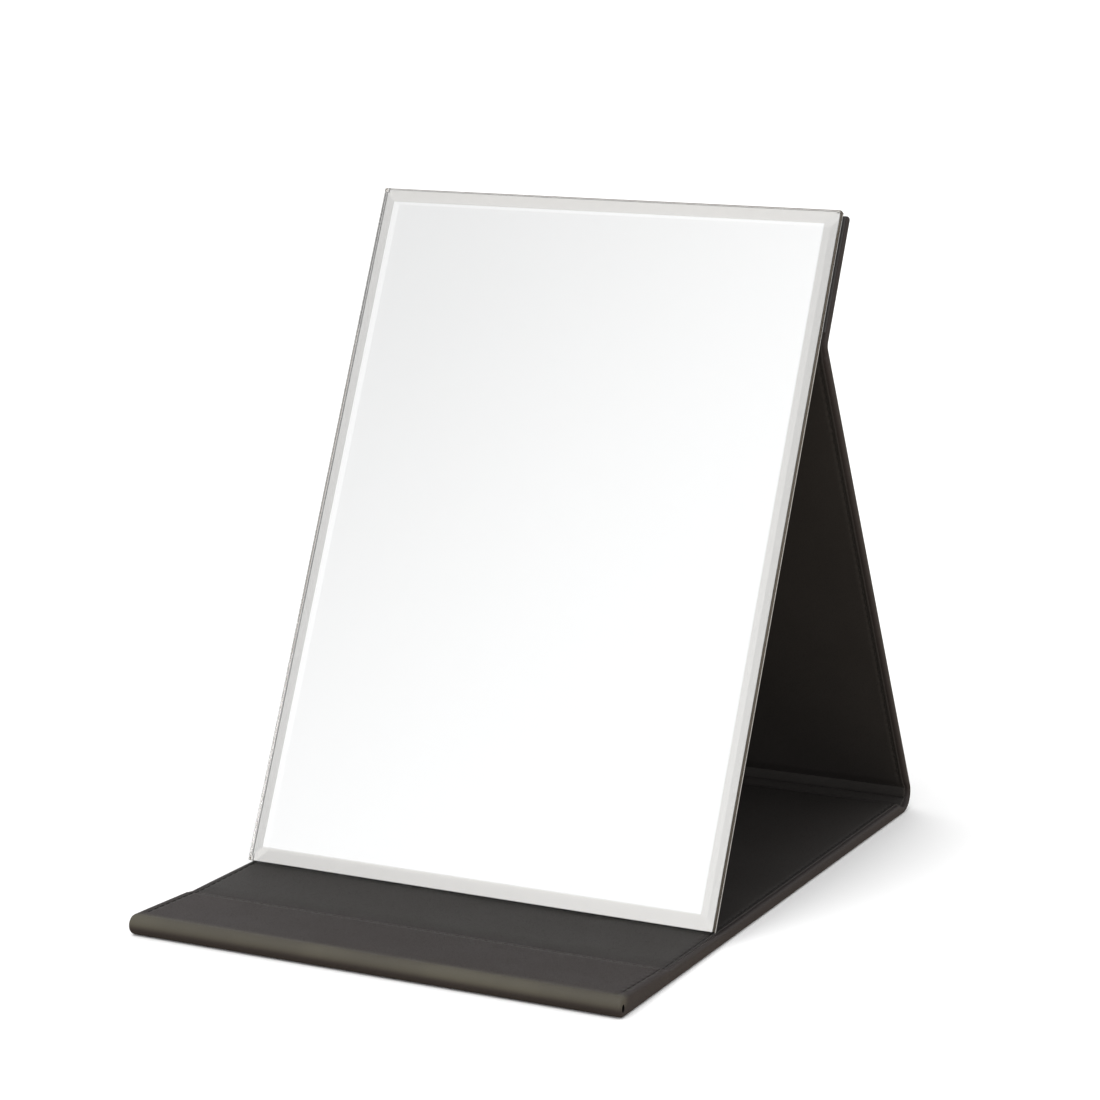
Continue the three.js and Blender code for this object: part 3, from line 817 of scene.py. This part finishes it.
def leather(name, colour, rough, groups, sizes, worn_and_highlighted=None):
    """Charcoal coated leather with fine grain and stitch puckers, and painted shade in the stitch holes; on the
    outer skin the upper front of the lip's roll is painted lighter, partly wear and partly painted highlight, and
    the mouths of the roll are painted near black as painted shade.
    """
    material, nodes, shader = new_material(name, Specular_IOR_Level=0.2)
    place = nodes.add("ShaderNodeAttribute", attribute_name="flat_place").outputs["Vector"]
    grain = nodes.group(groups["grain"], Place=place, Cell_Size=sizes.grain_cell)
    parts = nodes.add("ShaderNodeSeparateXYZ", {"Vector": place}).outputs
    aside = nodes.math("SUBTRACT", nodes.math("ABSOLUTE", parts["X"]), ROW)
    rows = [(parts["Y"], aside)]
    if worn_and_highlighted:
        rows.append((parts["X"], nodes.math("SUBTRACT", parts["Y"], CROSS_ROW)))
    hole, pucker = 0.0, 0.0
    for along, from_row in rows:
        pull = nodes.group(groups["pull"], Along=along, From_Row=from_row, Pitch=sizes.pitch)
        hole = nodes.math("MAXIMUM", hole, pull["Hole"])
        pucker = nodes.math("MAXIMUM", pucker, pull["Pucker"])
    sewn = 0.0
    for start, end in SEWN:
        inside = nodes.math("MULTIPLY", nodes.math("GREATER_THAN", parts["Y"], start),
                            nodes.math("LESS_THAN", parts["Y"], end))
        sewn = nodes.math("ADD", sewn, inside)
    hole = nodes.math("MULTIPLY", hole, sewn)
    pucker = nodes.math("MULTIPLY", pucker, sewn)
    tone = nodes.mix(grain["Mottle"], toned(colour, 0.93), toned(colour, 1.06))
    tone = nodes.mix(nodes.math("MULTIPLY", grain["Valley"], 0.5), tone, toned(colour, 0.72))
    # Painted highlight, partly wear: the upper front of the lip's roll is painted a lighter, browner tone.
    if worn_and_highlighted:
        front = nodes.between(parts["Y"], CROWN - 1.5 * MM, CROWN + 4 * MM, 1.0, 0.0)
        upper = nodes.between(parts["Z"], 2.4 * MM, 5.4 * MM)
        uneven = nodes.between(grain["Mottle"], 0.0, 1.0, 0.75, 1.0)
        wear_and_highlight = nodes.math("MULTIPLY", nodes.math("MULTIPLY", front, upper), uneven)
        tone = nodes.mix(wear_and_highlight, tone, toned(worn_and_highlighted))
    # Painted shade: the stitch holes are painted dark.
    tone = nodes.mix(nodes.math("MULTIPLY", hole, 0.4), tone, (0.006, 0.006, 0.006, 1))
    if worn_and_highlighted:
        # Painted shade: inside the mouths of the lip's roll the leather is painted near black, standing for the
        # shade deep in the tunnel.
        beside = nodes.math("DIVIDE", nodes.math("SUBTRACT", parts["Y"], MOUTH_ALONG), MOUTH_HALF_ALONG)
        above = nodes.math("DIVIDE", nodes.math("SUBTRACT", parts["Z"], MOUTH_UP), MOUTH_HALF_UP)
        reach = nodes.math("ADD", nodes.math("MULTIPLY", beside, beside),
                           nodes.math("MULTIPLY", above, above))
        inside = nodes.between(reach, 1.02, 1.25, 1.0, 0.0)
        tone = nodes.mix(inside, tone, (0.001, 0.001, 0.001, 1))
    worn = nodes.between(grain["Mottle"], 0.0, 1.0, rough - 0.02, rough + 0.02)
    roughness = nodes.math("ADD", worn, nodes.math("MULTIPLY", grain["Valley"], 0.12))
    relief = nodes.math("SUBTRACT", nodes.math("MULTIPLY", grain["Height"], 0.05),
                        nodes.math("MULTIPLY", pucker, 0.35))
    nodes.feed(shader, Base_Color=tone, Roughness=roughness, Normal=nodes.bump(relief, 0.55, 0.6 * MM))
    return material


def thread_material(name, colour):
    """Twisted thread: slanting plies along each stitch."""
    material, nodes, shader = new_material(name, Specular_IOR_Level=0.3, Roughness=0.75)
    place = nodes.add("ShaderNodeAttribute", attribute_name="flat_place").outputs["Vector"]
    plies = nodes.add("ShaderNodeTexWave", {"Vector": place, "Scale": 620.0, "Distortion": 1.5,
                                            "Detail": 2.0}, bands_direction="DIAGONAL")
    tone = nodes.mix(plies.outputs["Fac"], toned(colour, 0.6), toned(colour))
    nodes.feed(shader, Base_Color=tone, Normal=nodes.bump(plies.outputs["Fac"], 0.5, 0.1 * MM))
    return material


def glass_material():
    """Clear float glass; the cut edges are faintly green and a little less polished."""
    material, nodes, shader = new_material(
        "float_glass", Transmission_Weight=1.0, IOR=1.52, Metallic=0.0)
    place = nodes.add("ShaderNodeTexCoord").outputs["Object"]
    zone = nodes.add("ShaderNodeAttribute", attribute_name="zone").outputs["Fac"]
    edge = nodes.between(zone, 0.7, 0.9)
    tone = nodes.mix(edge, (0.99, 0.99, 0.99, 1), (0.86, 0.93, 0.905, 1))
    ground = nodes.add("ShaderNodeTexNoise", {"Vector": place, "Scale": 900.0, "Detail": 2.0})
    edge_rough = nodes.between(ground.outputs["Fac"], 0.3, 0.7, 0.1, 0.14)
    nodes.feed(shader, Base_Color=tone, Roughness=nodes.math("MULTIPLY", edge, edge_rough))
    return material


def coating_material(bevel_width):
    """Silver in front, dark protective paint behind and at the cut edges.

    The silver under the bevel is painted greyer as a painted reflection, in strips that meet in mitres: darkest
    under the left bevel, lightest under the right.
    """
    material, nodes, shader = new_material("silver_and_paint")
    place = nodes.add("ShaderNodeTexCoord").outputs["Object"]
    toward = (0, -math.cos(MIRROR_LEAN), math.sin(MIRROR_LEAN))
    height = nodes.add("ShaderNodeVectorMath", {0: place, 1: toward}, operation="DOT_PRODUCT")
    back = CREASE.dot(Vector(toward)) + SILVER_BACK
    silver = nodes.between(height.outputs["Value"], back, back + 0.12 * MM)
    specks = nodes.add("ShaderNodeTexNoise", {"Vector": place, "Scale": 700.0, "Detail": 3.0})
    paint = nodes.mix(specks.outputs["Fac"], (0.018, 0.018, 0.02, 1), (0.035, 0.034, 0.036, 1))
    upward = (0, math.sin(MIRROR_LEAN), math.cos(MIRROR_LEAN))
    along = nodes.add("ShaderNodeVectorMath", {0: place, 1: upward}, operation="DOT_PRODUCT")
    middle = CREASE.dot(Vector(upward)) + PANE_MIDDLE + BORDER_SHIFT[1]
    parts = nodes.add("ShaderNodeSeparateXYZ", {"Vector": place}).outputs
    aside = nodes.math("ABSOLUTE", nodes.math("ADD", parts["X"], BORDER_SHIFT[0]))
    above = nodes.math("ABSOLUTE", nodes.math("SUBTRACT", along.outputs["Value"], middle))
    past_side = nodes.math("SUBTRACT", aside, PANE_HALF - bevel_width)
    past_end = nodes.math("SUBTRACT", above, PANE_TOP - PANE_MIDDLE - bevel_width)
    border = nodes.between(nodes.math("MAXIMUM", past_side, past_end), -0.05 * MM, 0.05 * MM)
    mitre = nodes.between(nodes.math("SUBTRACT", past_side, past_end), -0.06 * MM, 0.06 * MM)
    # Painted reflection: each bevel strip gets its own grey, darker on the left than on the right.
    right = nodes.math("GREATER_THAN", parts["X"], 0.0)
    side = nodes.mix(right, (0.625, 0.619, 0.61, 1), (0.745, 0.737, 0.723, 1))
    rim = nodes.mix(mitre, (0.725, 0.715, 0.697, 1), side)
    plate = nodes.mix(border, (0.955, 0.96, 0.96, 1), rim)
    nodes.feed(shader, Base_Color=nodes.mix(silver, paint, plate), Metallic=silver,
               Roughness=nodes.between(silver, 0.0, 1.0, 0.5, 0.0))
    return material


def speckled(name, dark, light, scale, rough, bump_height=0.0001, metallic=0.0):
    """A plain finish for the pieces inside: two tones broken up by fine noise."""
    material, nodes, shader = new_material(name, Metallic=metallic)
    place = nodes.add("ShaderNodeTexCoord").outputs["Object"]
    specks = nodes.add("ShaderNodeTexNoise", {"Vector": place, "Scale": scale, "Detail": 5.0})
    tone = nodes.mix(specks.outputs["Fac"], dark + (1,), light + (1,))
    roughness = nodes.between(specks.outputs["Fac"], 0.3, 0.7, rough - 0.05, rough + 0.05)
    nodes.feed(shader, Base_Color=tone, Roughness=roughness,
               Normal=nodes.bump(specks.outputs["Fac"], 0.5, bump_height))
    return material


def finish_hidden_pieces(sizes):
    finishes = {
        speckled("pressed_greyboard", (0.20, 0.18, 0.15), (0.36, 0.33, 0.28), 900.0, 0.93):
            ["base_board", "front_board", "leg_board", "upper_panel_board"],
        speckled("closed_cell_foam", (0.03, 0.03, 0.033), (0.06, 0.06, 0.064), 1500.0, 0.95, 0.0003):
            ["base_foam", "front_pad"],
        speckled("piping_cord", (0.012, 0.012, 0.012), (0.03, 0.029, 0.028), 1300.0, 0.85):
            ["lip_cord"],
        speckled("acrylic_tape", (0.012, 0.012, 0.012), (0.025, 0.025, 0.025), 600.0, 0.8):
            ["mounting_tape_upper", "mounting_tape_lower"],
        speckled("nickel_plate", (0.55, 0.54, 0.52), (0.68, 0.67, 0.65), 250.0, 0.25, 0.00002, 1.0):
            ["closure_magnet_left", "closure_magnet_right"],
        speckled("zinc_plate", (0.42, 0.43, 0.45), (0.58, 0.59, 0.6), 320.0, 0.4, 0.00003, 1.0):
            ["closure_plate_left", "closure_plate_right"],
        speckled("hidden_lining", (0.03, 0.028, 0.028), (0.045, 0.042, 0.042), 1400.0, 0.6):
            ["upper_panel_lining"],
        coating_material(sizes.bevel_width): ["mirror_coating"],
    }
    for material, names in finishes.items():
        for name in names:
            node = frame["nodes"][name]
            node.data.materials.clear()
            node.data.materials.append(material)


# ---- stage --------------------------------------------------------------------
def make_stage(stage):
    """A wide pale floor, an even pale sky and soft lamps."""
    deselect()
    bpy.ops.mesh.primitive_plane_add(size=stage.floor_size, location=(0, 0, -0.1 * MM))
    floor = bpy.context.object
    floor.name = floor.data.name = "floor"
    material, nodes, shader = new_material("pale_floor", Specular_IOR_Level=0.1, Roughness=0.9)
    place = nodes.add("ShaderNodeTexCoord").outputs["Object"]
    slow = nodes.add("ShaderNodeTexNoise", {"Vector": place, "Scale": 2.0})
    seen = nodes.mix(slow.outputs["Fac"], (0.955, 0.955, 0.955, 1), (0.965, 0.965, 0.965, 1))
    path = nodes.add("ShaderNodeLightPath")
    tone = nodes.mix(path.outputs["Is Camera Ray"], toned(stage.floor_bounce), seen)
    nodes.feed(shader, Base_Color=tone)
    floor.data.materials.append(material)

    make_sky(stage)
    make_reflected_card(stage)

    lamp = add_lamp("overhead_diffuser", "SUN", (0, 0, 3), OVERHEAD_FROM, stage.overhead_power)
    lamp.angle = OVERHEAD_WIDTH
    lamp = add_lamp("right_softbox", "AREA", SOFTBOX_PLACE, SOFTBOX_PLACE - SOFTBOX_AIM,
                    stage.side_power)
    lamp.size = SOFTBOX_SIZE


def add_lamp(name, kind, place, behind, power):
    """A lamp whose back faces the way that behind points."""
    bpy.ops.object.light_add(type=kind, location=place)
    lamp = bpy.context.object
    lamp.name = lamp.data.name = name
    lamp.data.energy = power
    lamp.rotation_euler = behind.to_track_quat("Z", "Y").to_euler()
    return lamp.data


def make_sky(stage):
    """White behind everything, and softer all round as a light."""
    world = bpy.data.worlds.new("pale_studio")
    world.use_nodes = True
    nodes = Nodes(world.node_tree)
    soft = world.node_tree.nodes["Background"]
    soft.inputs["Color"].default_value = toned(stage.sky_colour)
    soft.inputs["Strength"].default_value = stage.sky_strength
    white = nodes.add("ShaderNodeBackground", {"Color": (1, 1, 1, 1), "Strength": 1.0})
    path = nodes.add("ShaderNodeLightPath")
    both = nodes.add("ShaderNodeMixShader")
    link = world.node_tree.links.new
    link(path.outputs["Is Camera Ray"], both.inputs[0])
    link(soft.outputs[0], both.inputs[1])
    link(white.outputs[0], both.inputs[2])
    link(both.outputs[0], world.node_tree.nodes["World Output"].inputs["Surface"])
    bpy.context.scene.world = world


def make_reflected_card(stage):
    """The bright panel that the mirror shows the viewer, its glow dimmer towards one corner."""
    lean = Matrix.Rotation(-MIRROR_LEAN, 3, "X")
    middle = CREASE + lean @ Vector((0, PANE_FRONT, PANE_MIDDLE))
    facing = lean @ Vector((0, -1, 0))
    right, up, back = camera_axes(stage)
    mirrored = [axis - 2 * axis.dot(facing) * facing for axis in (right, up, -back)]
    deselect()
    bpy.ops.mesh.primitive_plane_add(size=CARD_SIZE)
    card = bpy.context.object
    card.name = card.data.name = "reflected_card"
    turn = Matrix((mirrored[0], mirrored[1], mirrored[0].cross(mirrored[1]))).transposed()
    card.matrix_world = Matrix.Translation(middle + CARD_DISTANCE * mirrored[2]) @ turn.to_4x4()
    card.visible_camera = False
    card.visible_shadow = False
    material = bpy.data.materials.new("card_glow")
    material.use_nodes = True
    tree = material.node_tree
    tree.nodes.clear()
    nodes = Nodes(tree)
    place = nodes.add("ShaderNodeTexCoord").outputs["Object"]
    parts = nodes.add("ShaderNodeSeparateXYZ", {"Vector": place}).outputs
    diagonal = nodes.math("SUBTRACT", parts["X"], parts["Y"])
    glow = nodes.between(diagonal, *CARD_FADE, stage.card_low, stage.card_high)
    emission = nodes.add("ShaderNodeEmission", {"Color": (1, 1, 1, 1), "Strength": glow})
    output = nodes.add("ShaderNodeOutputMaterial")
    tree.links.new(emission.outputs[0], output.inputs["Surface"])
    card.data.materials.append(material)


def camera_axes(stage):
    azimuth, elevation = stage.camera_azimuth, stage.camera_elevation
    right = Vector((math.cos(azimuth), math.sin(azimuth), 0))
    back = Vector((math.sin(azimuth) * math.cos(elevation),
                   -math.cos(azimuth) * math.cos(elevation), math.sin(elevation)))
    return right, back.cross(right), back


def make_camera(stage):
    back = camera_axes(stage)[2]
    data = bpy.data.cameras.new("camera")
    camera = bpy.data.objects.new("camera", data)
    bpy.context.scene.collection.objects.link(camera)
    data.sensor_width = SENSOR_WIDTH
    data.lens = stage.camera_lens
    camera.location = Vector(stage.camera_target) + back * stage.camera_distance
    camera.rotation_euler = (-back).to_track_quat("-Z", "Y").to_euler()
    bpy.context.scene.camera = camera
    bpy.context.scene.view_settings.view_transform = "Standard"


# ---- add-on -------------------------------------------------------------------
class MirrorSizes(bpy.types.PropertyGroup):
    """Sizes of the fine parts that the frame doesn't hold."""
    pitch: bpy.props.FloatProperty(
        name="Stitch pitch", description="Distance from one stitch to the next",
        default=4.0 * MM, subtype="DISTANCE", unit="LENGTH")
    stitch_length: bpy.props.FloatProperty(
        name="Stitch length", description="Length of thread that shows between two holes",
        default=2.8 * MM, subtype="DISTANCE", unit="LENGTH")
    thread: bpy.props.FloatProperty(
        name="Thread", description="Diameter of the sewing thread",
        default=0.5 * MM, subtype="DISTANCE", unit="LENGTH")
    grain_cell: bpy.props.FloatProperty(
        name="Grain", description="Size of one pebble of the leather's grain",
        default=0.7 * MM, subtype="DISTANCE", unit="LENGTH")
    bevel_width: bpy.props.FloatProperty(
        name="Bevel width", description="Width of the ground bevel round the glass",
        default=5.6 * MM, subtype="DISTANCE", unit="LENGTH")
    bevel_depth: bpy.props.FloatProperty(
        name="Bevel depth", description="How far the bevel falls to the glass's edge",
        default=1.0 * MM, subtype="DISTANCE", unit="LENGTH")
    arris: bpy.props.FloatProperty(
        name="Arris", description="Size of the tiny chamfer on the glass's outer edges",
        default=0.25 * MM, subtype="DISTANCE", unit="LENGTH")


class MirrorFinish(bpy.types.PropertyGroup):
    """Colours and roughness of the leather and thread."""
    outer_colour: bpy.props.FloatVectorProperty(
        name="Outer leather", description="Colour of the outer skin",
        default=(0.0296, 0.0243, 0.0233), subtype="COLOR", size=3, min=0, max=1)
    # Colour of the lip's upper front: partly wear, partly painted highlight.
    worn_and_highlighted_colour: bpy.props.FloatVectorProperty(
        name="Rubbed lip", description="Colour of the outer skin where the front roll is rubbed",
        default=(0.074, 0.068, 0.052), subtype="COLOR", size=3, min=0, max=1)
    lining_colour: bpy.props.FloatVectorProperty(
        name="Lining leather", description="Colour of the lining",
        default=(0.0300, 0.0272, 0.0256), subtype="COLOR", size=3, min=0, max=1)
    thread_colour: bpy.props.FloatVectorProperty(
        name="Thread", description="Colour of the stitches along the edges",
        default=(0.016, 0.0145, 0.013), subtype="COLOR", size=3, min=0, max=1)
    cross_thread_colour: bpy.props.FloatVectorProperty(
        name="Cross thread", description="Colour of the stitches across the base",
        default=(0.075, 0.072, 0.068), subtype="COLOR", size=3, min=0, max=1)
    leather_roughness: bpy.props.FloatProperty(
        name="Leather roughness", description="How matte the leather is",
        default=0.58, min=0, max=1, subtype="FACTOR")


class MirrorStage(bpy.types.PropertyGroup):
    """Floor, light and camera."""
    floor_size: bpy.props.FloatProperty(
        name="Floor", description="Side of the square floor",
        default=60.0, subtype="DISTANCE", unit="LENGTH")
    floor_bounce: bpy.props.FloatVectorProperty(
        name="Floor bounce", description="Colour of the light that the floor throws back",
        default=(0.56, 0.48, 0.39), subtype="COLOR", size=3, min=0, max=1)
    sky_colour: bpy.props.FloatVectorProperty(
        name="Sky", description="Colour of the even light all round",
        default=(1.0, 1.0, 1.0), subtype="COLOR", size=3, min=0, max=1)
    sky_strength: bpy.props.FloatProperty(
        name="Sky strength", description="Strength of the even light all round", default=0.9)
    overhead_power: bpy.props.FloatProperty(
        name="Overhead", description="Strength of the wide soft light overhead", default=1.5)
    side_power: bpy.props.FloatProperty(
        name="Right softbox", description="Power of the softbox on the right",
        default=22.0, subtype="POWER", unit="POWER")
    card_low: bpy.props.FloatProperty(
        name="Card, dim corner", description="Glow that the mirror shows in its upper left",
        default=0.86)
    card_high: bpy.props.FloatProperty(
        name="Card, bright corner", description="Glow that the mirror shows in its lower right",
        default=1.08)
    camera_azimuth: bpy.props.FloatProperty(
        name="Camera azimuth", description="Direction that the camera stands in",
        default=math.radians(26.55), subtype="ANGLE", unit="ROTATION")
    camera_elevation: bpy.props.FloatProperty(
        name="Camera elevation", description="Angle of the camera above the table",
        default=math.radians(11.86), subtype="ANGLE", unit="ROTATION")
    camera_distance: bpy.props.FloatProperty(
        name="Camera distance", description="From the camera to the point it looks at",
        default=1.2369, subtype="DISTANCE", unit="LENGTH")
    camera_lens: bpy.props.FloatProperty(
        name="Camera lens", description="Focal length for a 36 mm sensor, in mm", default=104.7)
    camera_target: bpy.props.FloatVectorProperty(
        name="Camera target", description="Point that the camera looks at",
        default=(0.00701, -0.00915, 0.1319), subtype="XYZ", size=3)


def gather_settings():
    scene = bpy.context.scene
    return scene.mirror_finish, scene.mirror_sizes


class MIRROR_OT_cover(bpy.types.Operator):
    """Makes the leather cover: base, spine, leg, crease and upper panel"""
    bl_idname = "mirror.cover"
    bl_label = "Make the leather cover"

    def execute(self, context):
        finish, sizes = gather_settings()
        groups = {"grain": leather_grain_group(), "pull": stitch_pull_group()}
        rough = finish.leather_roughness
        make_cover({
            "outer": leather("outer_leather_finish", finish.outer_colour, rough, groups, sizes,
                             finish.worn_and_highlighted_colour),
            "lining": leather("lining_leather_finish", finish.lining_colour, rough, groups, sizes),
        })
        return {"FINISHED"}


class MIRROR_OT_stitches(bpy.types.Operator):
    """Sews the rows of stitches"""
    bl_idname = "mirror.stitches"
    bl_label = "Sew the stitches"

    def execute(self, context):
        finish, sizes = gather_settings()
        make_stitches({
            "sizes": sizes,
            "thread": thread_material("dark_thread", finish.thread_colour),
            "pale_thread": thread_material("pale_thread", finish.cross_thread_colour),
        })
        return {"FINISHED"}


class MIRROR_OT_glass(bpy.types.Operator):
    """Makes the bevelled glass"""
    bl_idname = "mirror.glass"
    bl_label = "Make the bevelled glass"

    def execute(self, context):
        make_glass({"sizes": gather_settings()[1], "glass": glass_material()})
        return {"FINISHED"}


class MIRROR_OT_hidden_pieces(bpy.types.Operator):
    """Gives the boards, foam, magnets, plates, tape and silver their finish"""
    bl_idname = "mirror.hidden_pieces"
    bl_label = "Finish the inner pieces"

    def execute(self, context):
        finish_hidden_pieces(gather_settings()[1])
        return {"FINISHED"}


class MIRROR_OT_stage(bpy.types.Operator):
    """Sets the floor, the light and the camera"""
    bl_idname = "mirror.stage"
    bl_label = "Set the stage"

    def execute(self, context):
        make_camera(context.scene.mirror_stage)
        make_stage(context.scene.mirror_stage)
        return {"FINISHED"}


class MIRROR_PT_panel(bpy.types.Panel):
    """Lists the steps that build the mirror"""
    bl_idname = "MIRROR_PT_panel"
    bl_label = "Folding mirror"
    bl_space_type = "VIEW_3D"
    bl_region_type = "UI"
    bl_category = "Mirror"

    def draw(self, context):
        for step in STEPS:
            self.layout.operator(step.bl_idname)
        for group in (context.scene.mirror_sizes, context.scene.mirror_finish,
                      context.scene.mirror_stage):
            for name in group.__annotations__:
                self.layout.prop(group, name)


STEPS = (MIRROR_OT_stage, MIRROR_OT_cover, MIRROR_OT_stitches, MIRROR_OT_glass,
         MIRROR_OT_hidden_pieces)
GROUPS = {"mirror_sizes": MirrorSizes, "mirror_finish": MirrorFinish, "mirror_stage": MirrorStage}


def register():
    for kind in (*GROUPS.values(), *STEPS, MIRROR_PT_panel):
        bpy.utils.register_class(kind)
    for name, kind in GROUPS.items():
        setattr(bpy.types.Scene, name, bpy.props.PointerProperty(type=kind))


def unregister():
    for name in GROUPS:
        delattr(bpy.types.Scene, name)
    for kind in reversed((*GROUPS.values(), *STEPS, MIRROR_PT_panel)):
        bpy.utils.unregister_class(kind)


def main():
    register()
    bpy.ops.mirror.stage()
    bpy.ops.mirror.cover()
    bpy.ops.mirror.stitches()
    bpy.ops.mirror.glass()
    bpy.ops.mirror.hidden_pieces()


if __name__ == "__main__":
    main()
